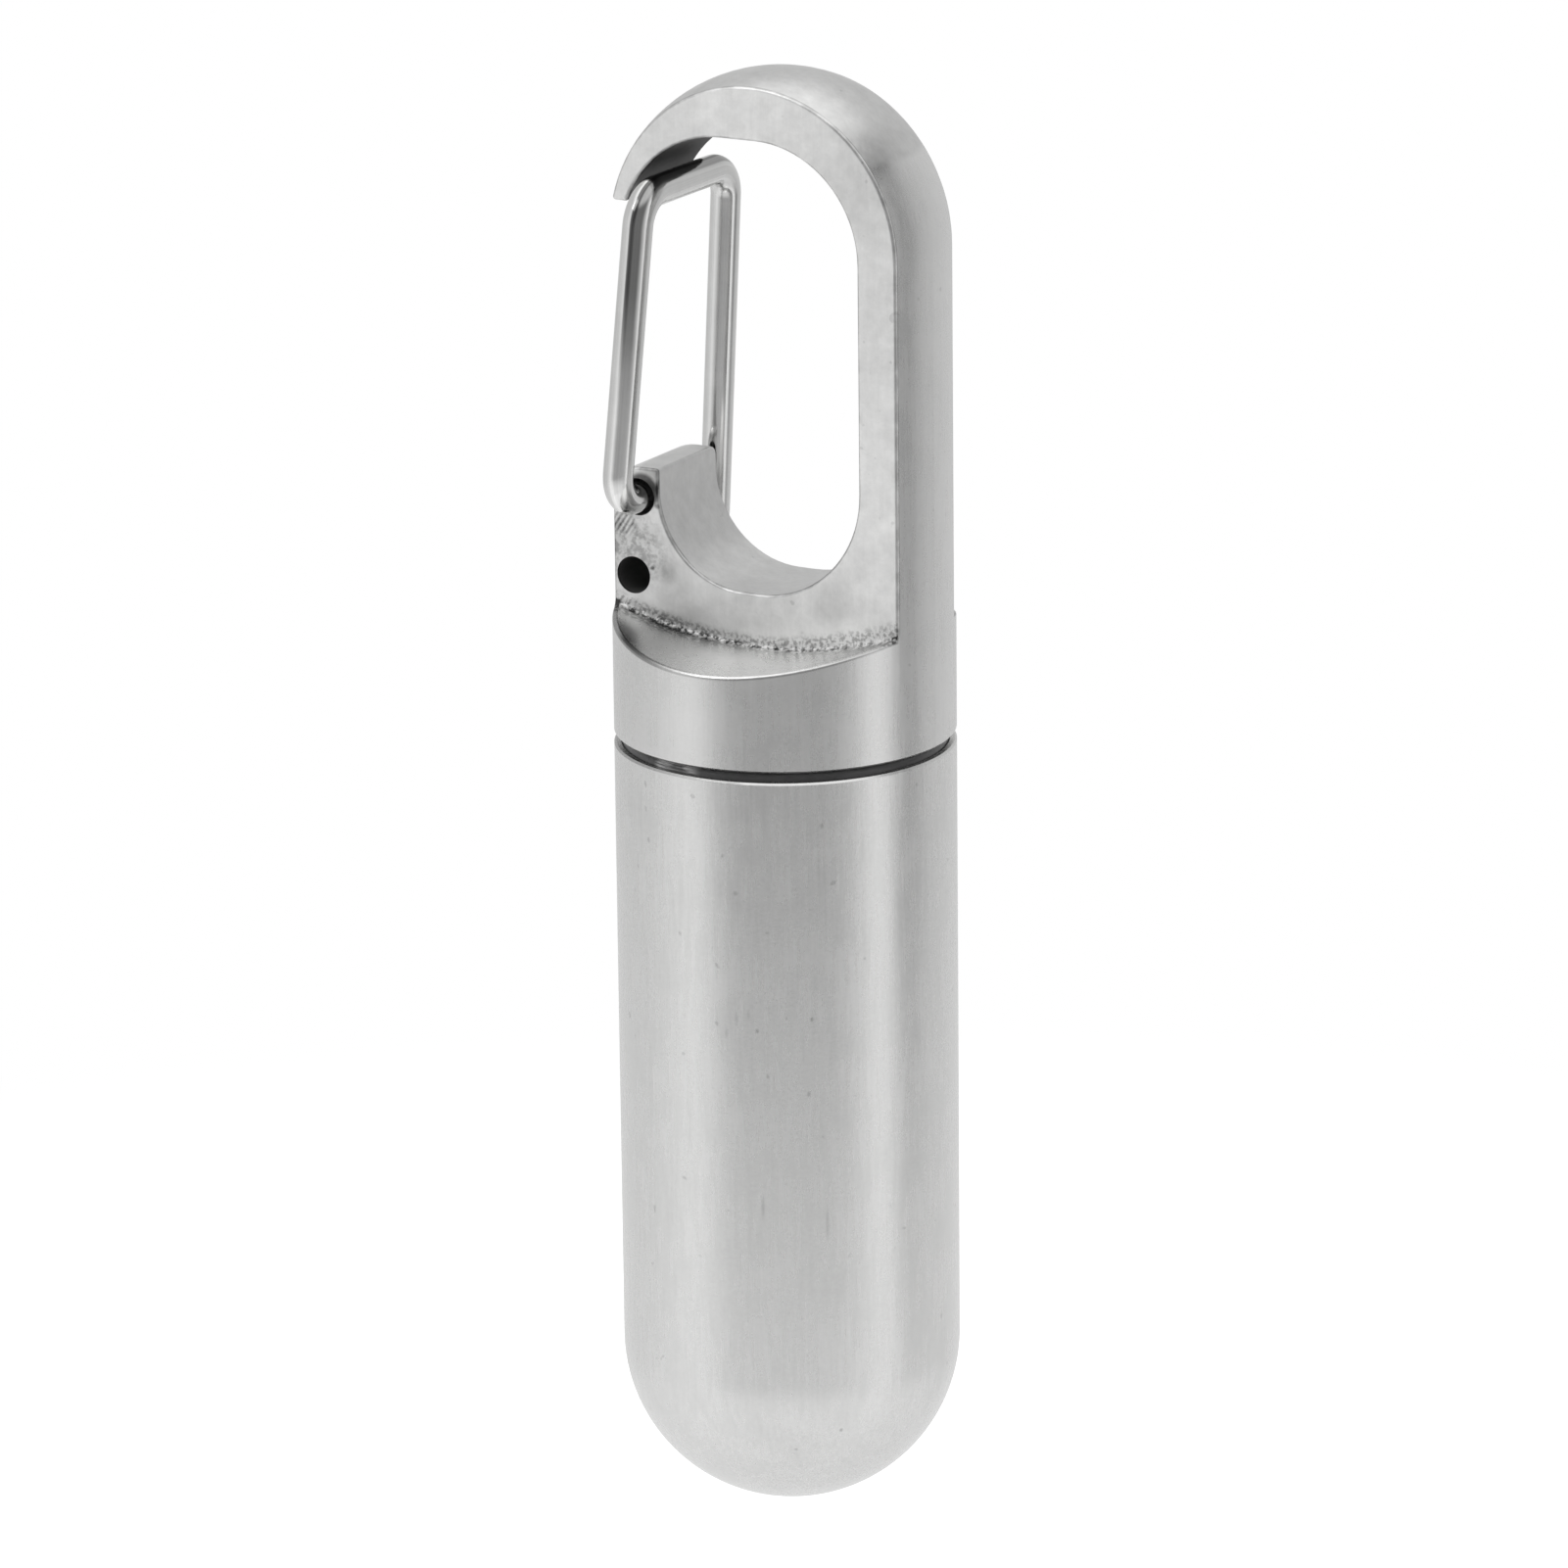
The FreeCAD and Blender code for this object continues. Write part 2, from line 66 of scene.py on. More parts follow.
def gridMesh(name, grid):
    # grid[row, column] is a point; quads join neighbours, columns wrap round, and equal points are merged
    rows, columns = grid.shape[:2]
    row, column = np.meshgrid(np.arange(rows - 1), np.arange(columns), indexing="ij")
    nextColumn = (column + 1) % columns
    quads = np.stack([row * columns + column, row * columns + nextColumn,
                      (row + 1) * columns + nextColumn, (row + 1) * columns + column], axis=-1)
    mesh = bpy.data.meshes.new(name)
    mesh.from_pydata(grid.reshape(-1, 3).tolist(), [], quads.reshape(-1, 4).tolist())
    across = np.stack([column, column + 1, column + 1, column], axis=-1) / columns
    along = np.stack([row, row, row + 1, row + 1], axis=-1) / (rows - 1)
    uv = mesh.uv_layers.new(name="around")
    uv.data.foreach_set("uv", np.stack([across, along], axis=-1).reshape(-1).astype(np.float32))
    work = bmesh.new()
    work.from_mesh(mesh)
    bmesh.ops.remove_doubles(work, verts=work.verts, dist=mergeDistance)
    bmesh.ops.recalc_face_normals(work, faces=work.faces)
    work.to_mesh(mesh)
    work.free()
    mesh.polygons.foreach_set("use_smooth", np.ones(len(mesh.polygons), bool))
    mesh.set_sharp_from_angle(angle=sharpAngle)
    return mesh


def addPiece(name, mesh, material, body, node):
    piece = bpy.data.objects.new(name, mesh)
    bpy.context.scene.collection.objects.link(piece)
    mesh.materials.append(material)
    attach(piece, body)
    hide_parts(node)
    return piece


# Node helpers

def addNode(tree, kind, values=None, **settings):
    node = tree.nodes.new(kind)
    for key, value in settings.items():
        setattr(node, key, value)
    for key, value in (values or {}).items():
        if isinstance(value, bpy.types.NodeSocket):
            tree.links.new(value, node.inputs[key])
        else:
            node.inputs[key].default_value = value
    return node


def calc(tree, operation, first, second=0.0):
    return addNode(tree, "ShaderNodeMath", {0: first, 1: second}, operation=operation).outputs[0]


def rampBetween(tree, value, low, high, outLow=0.0, outHigh=1.0):
    # smooth step from outLow to outHigh as value goes from low to high; the pieces' ramps are in this order
    node = addNode(tree, "ShaderNodeMapRange", {"Value": value, "From Min": low, "From Max": high,
                                                "To Min": outLow, "To Max": outHigh})
    node.interpolation_type = "SMOOTHSTEP"
    return node.outputs["Result"]


def rampLinear(tree, value, low, high):
    node = addNode(tree, "ShaderNodeMapRange", {"Value": value, "From Min": low, "From Max": high})
    return node.outputs["Result"]


def noiseOn(tree, vector, scale, detail, roughness=0.55):
    # the pieces' noises are in this order
    node = addNode(tree, "ShaderNodeTexNoise", {"Vector": vector, "Scale": scale, "Detail": detail,
                                                "Roughness": roughness})
    return node.outputs["Fac"]


def stretched(tree, vector, factors):
    return addNode(tree, "ShaderNodeVectorMath", {0: vector, 1: factors}, operation="MULTIPLY").outputs[0]


def dotWith(tree, vector, direction):
    node = addNode(tree, "ShaderNodeVectorMath", {0: vector, 1: direction}, operation="DOT_PRODUCT")
    return node.outputs["Value"]


def nearPoint(tree, place, point, inner, outer):
    # 1 within the inner distance of a point, 0 past the outer one
    apart = addNode(tree, "ShaderNodeVectorMath", {0: place, 1: point}, operation="DISTANCE")
    return rampBetween(tree, apart.outputs["Value"], inner, outer, 1.0, 0.0)


def fromAxis(tree, first, second, middle):
    # distance from an axis, given the two coordinates across it
    aside = calc(tree, "SUBTRACT", first, middle[0])
    above = calc(tree, "SUBTRACT", second, middle[1])
    square = calc(tree, "ADD", calc(tree, "MULTIPLY", aside, aside), calc(tree, "MULTIPLY", above, above))
    return calc(tree, "SQRT", square)


def allOf(tree, *masks):
    # the product of several masks
    product = masks[0]
    for mask in masks[1:]:
        product = calc(tree, "MULTIPLY", product, mask)
    return product


def between(tree, value, rise, fall):
    # 1 between two soft limits: up over the rise and down again over the fall
    return allOf(tree, rampBetween(tree, value, *rise), rampBetween(tree, value, *fall))


def addUp(tree, terms):
    # the sum of each value times its weight
    total = None
    for value, weight in terms:
        share = calc(tree, "MULTIPLY", value, weight)
        total = share if total is None else calc(tree, "ADD", total, share)
    return total


def weighed(tree, masks, weights):
    # the sum of the named masks, each times its weight
    return addUp(tree, [(masks[name], weight) for name, weight in weights.items()])


def lessBy(tree, shade, mask, depth):
    # a shade taken down by the depth where the mask is 1
    return calc(tree, "MULTIPLY", shade, calc(tree, "SUBTRACT", 1.0, calc(tree, "MULTIPLY", mask, depth)))


def swinging(tree, terms, middle=1.0):
    # middle plus each (value - 0.5) times its weight
    total = middle
    for value, weight in terms:
        total = calc(tree, "ADD", calc(tree, "MULTIPLY", calc(tree, "SUBTRACT", value, 0.5), weight), total)
    return total


def tinted(tree, colour, shade):
    # a colour multiplied by a grey value
    node = addNode(tree, "ShaderNodeVectorMath", {0: tuple(colour), "Scale": shade}, operation="SCALE")
    return node.outputs["Vector"]


def bumped(tree, height, distance):
    return addNode(tree, "ShaderNodeBump", {"Height": height, "Distance": distance}).outputs["Normal"]


def newMaterial(name, fixed):
    material = bpy.data.materials.new(name)
    material.use_nodes = True
    shader = material.node_tree.nodes["Principled BSDF"]
    for key, value in fixed.items():
        shader.inputs[key].default_value = value
    return material, material.node_tree, shader


# Machined grain, shared by the capsule and the cap

grainLook = {
    "blotch": (5.0, 0.62),  # detail and roughness
    "streak": (3.0, 0.6),
    "pitNoise": (1500.0, 1.0),
    "pitSize": (0.74, 0.8),
    "grainNoise": (5200.0, 2.0),
}


def makeGrainGroup(look):
    # fine machined metal: blotches, streaks along Z, sparse pits and a fine grain, all between 0 and 1
    group = bpy.data.node_groups.new("machinedGrain", "ShaderNodeTree")
    for name, kind in (("Place", "NodeSocketVector"), ("Blotch Scale", "NodeSocketFloat"),
                       ("Streak Scale", "NodeSocketFloat"), ("Streak Length", "NodeSocketFloat")):
        group.interface.new_socket(name, in_out="INPUT", socket_type=kind)
    for name in ("Blotch", "Streak", "Pits", "Grain"):
        group.interface.new_socket(name, in_out="OUTPUT", socket_type="NodeSocketFloat")
    source = addNode(group, "NodeGroupInput").outputs
    sink = addNode(group, "NodeGroupOutput").inputs
    shrink = calc(group, "DIVIDE", 1.0, source["Streak Length"])
    alongZ = addNode(group, "ShaderNodeCombineXYZ", {"X": 1.0, "Y": 1.0, "Z": shrink}).outputs[0]
    drawn = stretched(group, source["Place"], alongZ)
    pits = noiseOn(group, source["Place"], *look["pitNoise"])
    group.links.new(noiseOn(group, source["Place"], source["Blotch Scale"], *look["blotch"]), sink["Blotch"])
    group.links.new(noiseOn(group, drawn, source["Streak Scale"], *look["streak"]), sink["Streak"])
    group.links.new(rampBetween(group, pits, *look["pitSize"]), sink["Pits"])
    group.links.new(noiseOn(group, source["Place"], *look["grainNoise"]), sink["Grain"])
    return group


grainGroup = makeGrainGroup(grainLook)


def steelGrain(tree, look):
    # the object's own coordinates, and the grain group's outputs at this steel's scales
    place = addNode(tree, "ShaderNodeTexCoord").outputs["Object"]
    scales = {"Blotch Scale": look["blotchScale"], "Streak Scale": look["streakScale"],
              "Streak Length": look["streakLength"]}
    group = addNode(tree, "ShaderNodeGroup", {"Place": place, **scales}, node_tree=grainGroup)
    return place, group.outputs


def grainMix(tree, grain, mix, middle=1.0):
    # the grain group's named outputs, each swinging round the middle by its weight
    return swinging(tree, [(grain[name], weight) for name, weight in mix.items()], middle)


# Capsule

capsuleLook = {
    "colour": (0.66, 0.66, 0.655),
    "roughness": 0.27,
    "blotchScale": 420.0,
    "streakScale": 4200.0,
    "streakLength": 12.0,
    "shadeMix": {"Blotch": 0.16, "Streak": 0.20, "Grain": 0.10},
    "roughMix": {"Blotch": 0.10, "Streak": 0.08},
    "bumpMix": {"Streak": 1.0, "Grain": 0.6},
    "bumpDepth": 0.004 * mm,
    "lipRise": (capsuleHigh.z - 0.13 * mm, capsuleHigh.z - 0.10 * mm),
    "lipSpread": (2.6 * mm, 1.8 * mm, 0.25, 1.0),  # painted shade on the lip's edge, across X, darker to the left
    "darkBy": {"pits": 0.20, "lip": 0.42},
    "speckSize": (0.03 * mm, 0.14 * mm),
    "specks": [  # place in mm, how many times taller than wide, how dark
        ((2.97, -8.50, -45.80), 1.3, 0.30), ((5.48, -7.14, -45.17), 1.3, 0.30),
        ((5.33, -7.25, -49.23), 1.6, 0.26), ((3.16, -8.43, -55.47), 7.0, 0.16),
        ((6.04, -6.67, -56.46), 9.0, 0.14), ((1.92, -8.79, -45.18), 4.0, 0.14),
        ((1.38, -8.89, -46.04), 3.0, 0.12), ((2.54, -8.64, -44.92), 3.0, 0.12),
        ((5.96, -6.74, -34.70), 1.4, 0.26), ((6.27, -5.83, -68.17), 1.2, 0.30)],
    "columns": 192,
    "domeSteps": 49,
    "wallSteps": 41,
    "threadSteps": 97,
    "outerRadius": 9.0 * mm,
    "lipInside": 8.65 * mm,
    "lipBevel": 0.1 * mm,
    "glandDepth": 0.65 * mm,
    "reliefRadius": 7.6 * mm,
    "rootRadius": 7.55 * mm,
    "ridgeRadius": 6.9 * mm,
    "rootHalf": 0.187 * mm,
    "flankAngle": math.radians(30),
    "threadTop": 1.05 * mm,
    "threadLow": 7.05 * mm,
    "threadPitch": 1.5 * mm,
    "reliefLow": 8.55 * mm,
    "boreRadius": 6.7 * mm,
}


def makeCapsuleSteel(look):
    material, tree, shader = newMaterial("capsule_satin_steel", {"Metallic": 1.0})
    place, grain = steelGrain(tree, look)
    parts = addNode(tree, "ShaderNodeSeparateXYZ", {"Vector": place}).outputs
    # painted shade along the mouth's lip, dulling its highlight, heavier to the left
    lip = allOf(tree, rampBetween(tree, parts["Z"], *look["lipRise"]),
                rampBetween(tree, parts["X"], *look["lipSpread"]))
    dark = weighed(tree, {"pits": grain["Pits"], "lip": lip}, look["darkBy"])
    for point, tall, amount in look["specks"]:
        squeeze = (1.0, 1.0, 1.0 / tall)
        middle = tuple(along * mm * factor for along, factor in zip(point, squeeze))
        speck = nearPoint(tree, stretched(tree, place, squeeze), middle, *look["speckSize"])
        dark = calc(tree, "ADD", dark, calc(tree, "MULTIPLY", speck, amount))
    shade = calc(tree, "SUBTRACT", grainMix(tree, grain, look["shadeMix"]), dark)
    tree.links.new(tinted(tree, look["colour"], shade), shader.inputs["Base Color"])
    rough = grainMix(tree, grain, look["roughMix"], look["roughness"])
    tree.links.new(rough, shader.inputs["Roughness"])
    height = grainMix(tree, grain, look["bumpMix"], 0.5)
    tree.links.new(bumped(tree, height, look["bumpDepth"]), shader.inputs["Normal"])
    return material


def makeCapsule(look):
    # a wall turned round Z: radius and height run from the outer pole up, over the lip and down the bore;
    # on the thread the radius also follows the distance to a helix that climbs one pitch a turn
    mouth = capsuleHigh.z
    outer, bore, relief = look["outerRadius"], look["boreRadius"], look["reliefRadius"]
    domeMiddle = capsuleLow.z + outer
    quarter = np.linspace(0.0, math.pi / 2, look["domeSteps"])
    outerDome = np.stack([outer * np.sin(quarter), domeMiddle - outer * np.cos(quarter)], 1)
    wallHeights = np.linspace(domeMiddle, mouth - look["lipBevel"], look["wallSteps"])[1:]
    wall = np.stack([np.full(len(wallHeights), outer), wallHeights], 1)
    gland = mouth - look["glandDepth"]
    lip = np.array([
        [outer - look["lipBevel"], mouth],
        [look["lipInside"], mouth],
        [look["lipInside"], gland],
        [relief, gland],
        [relief, mouth - look["threadTop"]],
    ])
    threadHeights = np.linspace(mouth - look["threadTop"], mouth - look["threadLow"], look["threadSteps"])
    thread = np.stack([np.zeros(len(threadHeights)), threadHeights], 1)
    runOut = np.array([
        [relief, mouth - look["threadLow"]],
        [relief, mouth - look["reliefLow"]],
        [bore, mouth - look["reliefLow"] - (relief - bore)],
    ])
    innerDome = np.stack([bore * np.cos(quarter), domeMiddle - bore * np.sin(quarter)], 1)
    profile = np.concatenate([outerDome, wall, lip, thread, runOut, innerDome])
    turn = np.arange(look["columns"]) * (2 * math.pi / look["columns"])
    radius = np.repeat(profile[:, :1], look["columns"], axis=1)
    height = np.repeat(profile[:, 1:], look["columns"], axis=1)
    pitch = look["threadPitch"]
    grooveStart = mouth - look["threadLow"] - pitch / 2
    rise = threadHeights[:, None] - grooveStart - pitch * turn[None, :] / (2 * math.pi)
    away = np.abs((rise / pitch + 0.5) % 1.0 - 0.5) * pitch
    flank = look["rootRadius"] - (away - look["rootHalf"]) / math.tan(look["flankAngle"])
    first = len(outerDome) + len(wall) + len(lip)
    radius[first:first + len(thread)] = np.clip(flank, look["ridgeRadius"], look["rootRadius"])
    grid = np.stack([radius * np.cos(turn), radius * np.sin(turn), height], axis=-1)
    return addPiece("capsule_shell", gridMesh("capsule_shell", grid), makeCapsuleSteel(look),
                    "capsule", "capsule_body")


capsule = makeCapsule(capsuleLook)
print("stage: capsule", len(capsule.data.polygons), "faces")


# Seal ring

ringLook = {
    "colour": (0.060, 0.060, 0.061),
    "roughness": 0.30,
    "bloomNoise": (900.0, 4.0),
    "bandStretch": (30.0, 26.0, 1.0),
    "bandNoise": (1.0, 3.0),
    "bloomShade": 0.7,
    "bandShade": 1.1,
    "bloomRough": 0.25,
    "skinNoise": (6000.0, 2.0),
    "skinDepth": 0.006 * mm,
    # a painted highlight on the ring's upper outside, standing in for a glint
    "rubStart": (0.684, 0.696),  # turns round the ring
    "rubEnd": (0.748, 0.728),
    "rubRows": (0.17, 0.12),  # turns round the section
    "rubPatch": (0.35, 0.6),
    "rubLift": 0.50,
    "section": 0.55 * mm,
    "flashHeight": 0.012 * mm,
    "flashWidth": 0.09,
    "turns": 192,
    "sides": 48,
}


def makeRubber(look):
    material, tree, shader = newMaterial("seal_rubber", {"Specular IOR Level": 0.5})
    place = addNode(tree, "ShaderNodeTexCoord").outputs["Object"]
    bloom = noiseOn(tree, place, *look["bloomNoise"])
    around = addNode(tree, "ShaderNodeUVMap", uv_map="around").outputs["UV"]
    bands = noiseOn(tree, stretched(tree, around, look["bandStretch"]), *look["bandNoise"])

    # a painted highlight: one pale patch on the upper outside, standing in for a glint
    spot = addNode(tree, "ShaderNodeSeparateXYZ", {"Vector": around}).outputs
    rub = allOf(tree, between(tree, spot["X"], look["rubStart"], look["rubEnd"]),
                rampBetween(tree, spot["Y"], *look["rubRows"]), rampBetween(tree, bands, *look["rubPatch"]))
    rubbed = tinted(tree, (1.0, 1.0, 1.0), calc(tree, "MULTIPLY", rub, look["rubLift"]))
    shade = swinging(tree, [(bloom, look["bloomShade"]), (bands, look["bandShade"])])
    rubber = tinted(tree, look["colour"], shade)
    colour = addNode(tree, "ShaderNodeVectorMath", {0: rubber, 1: rubbed}, operation="ADD").outputs[0]
    tree.links.new(colour, shader.inputs["Base Color"])
    rough = swinging(tree, [(bloom, look["bloomRough"])], look["roughness"])
    tree.links.new(rough, shader.inputs["Roughness"])
    skin = noiseOn(tree, place, *look["skinNoise"])
    tree.links.new(bumped(tree, skin, look["skinDepth"]), shader.inputs["Normal"])
    return material


def makeRing(look):
    # a torus: a circle with a thin moulding line at its outer and inner middle, turned round Z
    middleRadius = ringHigh.x - look["section"]
    middleHeight = (ringLow.z + ringHigh.z) / 2
    turn = np.arange(look["turns"]) * (2 * math.pi / look["turns"])
    side = np.linspace(0.0, 2 * math.pi, look["sides"] + 1)
    flash = look["flashHeight"] * np.exp(-(np.sin(side) / look["flashWidth"]) ** 2)
    section = look["section"] - look["flashHeight"] + flash
    radius = (middleRadius + section * np.cos(side))[:, None]
    height = (middleHeight + section * np.sin(side))[:, None]
    grid = np.stack([radius * np.cos(turn), radius * np.sin(turn), height + 0 * turn], axis=-1)
    return addPiece("seal_ring", gridMesh("seal_ring", grid), makeRubber(look),
                    "seal", "o_ring")


ring = makeRing(ringLook)
print("stage: seal ring", len(ring.data.polygons), "faces")


# Wire gate

gateLook = {
    "colour": (0.64, 0.64, 0.635),
    "roughness": 0.13,
    "drawnStretch": (26.0, 3.0, 1.0),
    "drawnNoise": (2.0, 4.0),
    "smearNoise": (700.0, 4.0),
    "drawnShade": 0.36,
    "smearShade": 0.22,
    "drawnRough": 0.08,
    "smearRough": 0.12,
    "bumpDepth": 0.004 * mm,
    # painted reflection: a dark stripe along one side of the wire
    "streakStart": (0.735, 0.755),  # turns round the wire
    "streakEnd": (0.895, 0.86),
    "streakStep": (0.785, 0.805, 1.0, 0.62),
    "streakWear": (0.15, 0.6, 0.7, 1.0),
    "streakFade": (-15.0 * mm, -7.5 * mm, -0.3, 1.0),  # down Z, turning into a painted highlight towards the feet
    "streakDepth": 0.86,
    "wireRadius": 0.8 * mm,
    "bendRadius": 1.7 * mm,
    "endBevel": 0.25 * mm,
    "pinEnd": 2.15 * mm,
    "footSpread": 5.3 * mm,
    "topSpread": 4.45 * mm,
    "sides": 40,
    "arcSteps": 22,
    "runSteps": 10,
}


def makeWireSteel(look):
    material, tree, shader = newMaterial("gate_drawn_wire", {"Metallic": 1.0})
    around = addNode(tree, "ShaderNodeUVMap", uv_map="around").outputs["UV"]
    place = addNode(tree, "ShaderNodeTexCoord").outputs["Object"]
    drawn = noiseOn(tree, stretched(tree, around, look["drawnStretch"]), *look["drawnNoise"])
    smear = noiseOn(tree, place, *look["smearNoise"])

    # painted reflection: a dark stripe along one side of the wire, standing in for a dark reflection, turning
    # into a painted highlight towards the feet
    turn = addNode(tree, "ShaderNodeSeparateXYZ", {"Vector": around}).outputs["X"]
    height = addNode(tree, "ShaderNodeSeparateXYZ", {"Vector": place}).outputs["Z"]
    streak = allOf(tree, between(tree, turn, look["streakStart"], look["streakEnd"]),
                   rampBetween(tree, turn, *look["streakStep"]),
                   rampBetween(tree, drawn, *look["streakWear"]),
                   rampBetween(tree, height, *look["streakFade"]))
    shade = swinging(tree, [(drawn, look["drawnShade"]), (smear, look["smearShade"])])
    shade = lessBy(tree, shade, streak, look["streakDepth"])
    tree.links.new(tinted(tree, look["colour"], shade), shader.inputs["Base Color"])
    rough = swinging(tree, [(drawn, look["drawnRough"]), (smear, look["smearRough"])], look["roughness"])
    tree.links.new(rough, shader.inputs["Roughness"])
    tree.links.new(bumped(tree, drawn, look["bumpDepth"]), shader.inputs["Normal"])
    return material


def roundedPath(corners, bend, arcSteps, runSteps):
    # straight runs through the corners with a tangent arc at each inner one; gives points and unit directions
    points = [corners[0]]
    for before, corner, after in zip(corners[:-2], corners[1:-1], corners[2:]):
        back = (before - corner) / np.linalg.norm(before - corner)
        ahead = (after - corner) / np.linalg.norm(after - corner)
        half = math.acos(np.clip(back @ ahead, -1, 1)) / 2
        inward = (back + ahead) / np.linalg.norm(back + ahead)
        middle = corner + inward * bend / math.sin(half)
        sweep = math.pi / 2 - half
        angle = np.linspace(-sweep, sweep, arcSteps)[:, None]
        sideways = (ahead - back) / np.linalg.norm(ahead - back)
        arc = middle - bend * inward * np.cos(angle) + bend * sideways * np.sin(angle)
        points.extend(np.linspace(points[-1], arc[0], runSteps + 1)[1:-1])
        points.extend(arc)
    points.extend(np.linspace(points[-1], corners[-1], runSteps + 1)[1:])
    points = np.array(points)
    ahead = np.diff(points, axis=0)
    ahead = ahead / np.linalg.norm(ahead, axis=1)[:, None]
    direction = np.concatenate([ahead[:1], ahead[:-1] + ahead[1:], ahead[-1:]])
    return points, direction / np.linalg.norm(direction, axis=1)[:, None]


def makeGate(look):
    # a circle carried along a bent path in a plane that leans about Y, closed and bevelled at both ends
    pivot = np.array(gateJoint["pos_m"])
    barAside = gateHigh.x - look["wireRadius"] - pivot[0]
    barAbove = gateHigh.z - look["wireRadius"] - pivot[2]
    lean = math.atan2(barAside, barAbove)
    up = np.array([math.sin(lean), 0.0, math.cos(lean)])
    out = np.array([math.cos(lean), 0.0, -math.sin(lean)])
    wide = np.array([0.0, 1.0, 0.0])
    barReach = barAbove / up[2]
    rearFoot = (gateLow.z + look["wireRadius"] - pivot[2]) / up[2]
    flat = [(-look["pinEnd"], 0.0), (-look["footSpread"], 0.0), (-look["topSpread"], barReach),
            (look["topSpread"], barReach), (look["footSpread"], rearFoot), (look["pinEnd"], rearFoot)]
    root = np.array([pivot[0], 0.0, pivot[2]])
    corners = np.array([root + wide * aside + up * along for aside, along in flat])
    points, direction = roundedPath(corners, look["bendRadius"], look["arcSteps"], look["runSteps"])
    start, end = points[0], points[-1]
    bevelIn = start + direction[0] * look["endBevel"]
    bevelOut = end - direction[-1] * look["endBevel"]
    middle = np.concatenate([[start, start, bevelIn], points[1:-1], [bevelOut, end, end]])
    ahead = np.concatenate([np.repeat(direction[:1], 3, 0), direction[1:-1], np.repeat(direction[-1:], 3, 0)])
    radius = np.full(len(middle), look["wireRadius"])
    radius[[0, -1]] = 0.0
    radius[[1, -2]] = look["wireRadius"] - look["endBevel"]
    sideways = np.cross(ahead, out)
    side = np.arange(look["sides"]) * (2 * math.pi / look["sides"])
    circle = out * np.cos(side)[None, :, None] + sideways[:, None, :] * np.sin(side)[None, :, None]
    grid = middle[:, None, :] + radius[:, None, None] * circle
    return addPiece("wire_gate_bent", gridMesh("wire_gate_bent", grid), makeWireSteel(look),
                    "gate", "wire_gate")


gate = makeGate(gateLook)
print("stage: wire gate", len(gate.data.polygons), "faces")


# Hook cap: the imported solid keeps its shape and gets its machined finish

flatAt = 3.05 * mm  # each flat's distance from the middle plane

